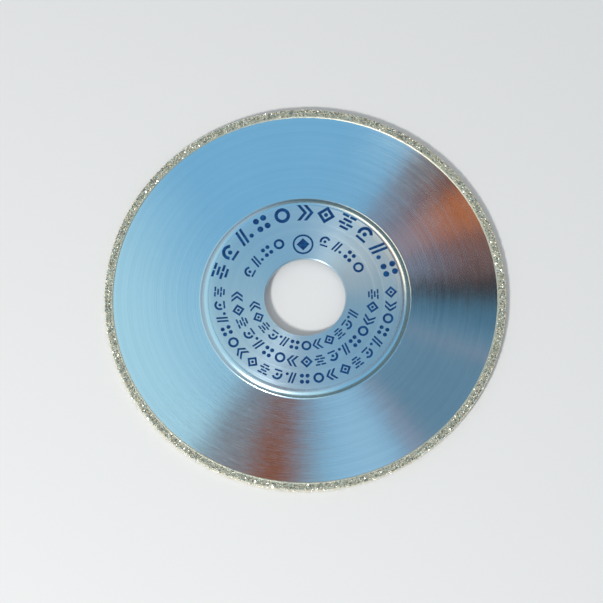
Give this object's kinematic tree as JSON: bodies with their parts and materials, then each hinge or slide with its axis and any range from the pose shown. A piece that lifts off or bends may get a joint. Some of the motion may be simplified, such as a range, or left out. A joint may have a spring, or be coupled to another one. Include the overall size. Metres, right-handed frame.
{
  "type": "diamond cutting disc",
  "caption": "Thin round cutting disc with a raised pressed hub, a round arbor bore and a plated diamond rim.",
  "frame": {"origin": "on the bore's axis, in the plane that the rim lies on", "axes": "+Z along the bore's axis, towards the face on which the hub stands proud"},
  "size_m": [0.1, 0.1, 0.0027],
  "materials": {
    "blank_steel": "circular brushed",
    "diamond_coat": "coarse plated grit"
  },
  "bodies": {
    "root": {"steel_blank": "blank_steel", "diamond_rim": "diamond_coat"}
  },
  "joints": []
}
